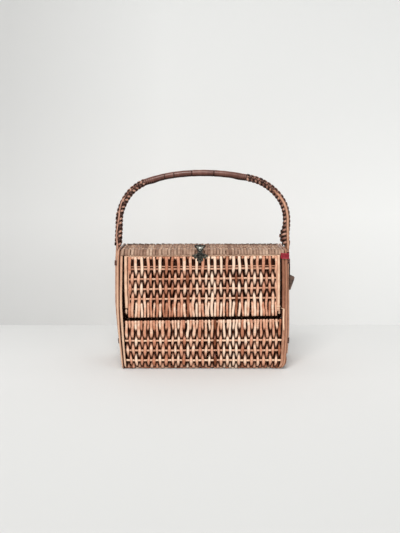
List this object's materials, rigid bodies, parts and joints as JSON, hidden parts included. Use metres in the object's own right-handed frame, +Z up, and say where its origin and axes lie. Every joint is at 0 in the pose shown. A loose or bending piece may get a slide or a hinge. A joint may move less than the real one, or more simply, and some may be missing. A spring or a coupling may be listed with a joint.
{
  "type": "basket box bag",
  "caption": "Hard wicker handbag: a woven reed box on cane hoops with a fixed arched handle, a drop-front flap and a metal turn clasp.",
  "frame": {"origin": "centre of the body on the plane it stands on", "axes": "+X along the front to the right, -Y out of the front, +Z up"},
  "size_m": [0.2683, 0.109, 0.2877],
  "materials": {
    "reed_weave": "matt split reed, pinkish tan with lighter and darker reeds",
    "cane_rod": "worn satin cane",
    "braided_cane": "dark varnished plaited cane",
    "grip_cane": "smooth varnished cane",
    "red_thread": "wound thread",
    "dark_wood": "dark worn wood",
    "clasp_metal": "dark patinated metal, bright on its high spots"
  },
  "bodies": {
    "basket": {"back_panel": "reed_weave", "base_panel": "reed_weave", "front_panel": "reed_weave", "top_panel": "reed_weave", "left_end_panel": "reed_weave", "right_end_panel": "reed_weave", "left_outer_hoop": "cane_rod", "right_outer_hoop": "cane_rod", "left_inner_hoop": "cane_rod", "right_inner_hoop": "cane_rod", "front_rail": "cane_rod", "top_front_rail": "cane_rod", "left_hinge_loop": "cane_rod", "right_hinge_loop": "cane_rod", "corner_cane": "cane_rod", "handle_core": "cane_rod", "left_braid": "braided_cane", "right_braid": "braided_cane", "left_leg_lashing": "braided_cane", "right_leg_lashing": "braided_cane", "grip_wrap": "grip_cane", "red_binding": "red_thread", "side_wedge": "dark_wood", "wedge_tie": "dark_wood", "clasp_top_plate": "clasp_metal", "top_plate_rivets": "clasp_metal"},
    "flap": {"flap_panel": "reed_weave", "flap_left_stile": "cane_rod", "flap_right_stile": "cane_rod", "flap_top_rod": "cane_rod", "hinge_rod": "cane_rod", "clasp_flap_plate": "clasp_metal", "flap_plate_rivets": "clasp_metal", "clasp_pin": "clasp_metal"},
    "hasp": {"hasp_ring": "clasp_metal"},
    "turn_button": {"turn_button": "clasp_metal"}
  },
  "joints": [
    {"name": "flap_hinge", "type": "hinge", "parent": "basket", "child": "flap", "pos_m": [0, -0.046, 0.083], "axis": [1, 0, 0], "range_deg": [0, 110]},
    {"name": "hasp_hinge", "type": "hinge", "parent": "flap", "child": "hasp", "pos_m": [-0.004, -0.0542, 0.1664], "axis": [1, 0, 0], "range_deg": [0, 150]},
    {"name": "button_turn", "type": "hinge", "parent": "basket", "child": "turn_button", "pos_m": [-0.004, -0.0532, 0.1756], "axis": [0, -1, 0], "range_deg": [0, 90]}
  ]
}
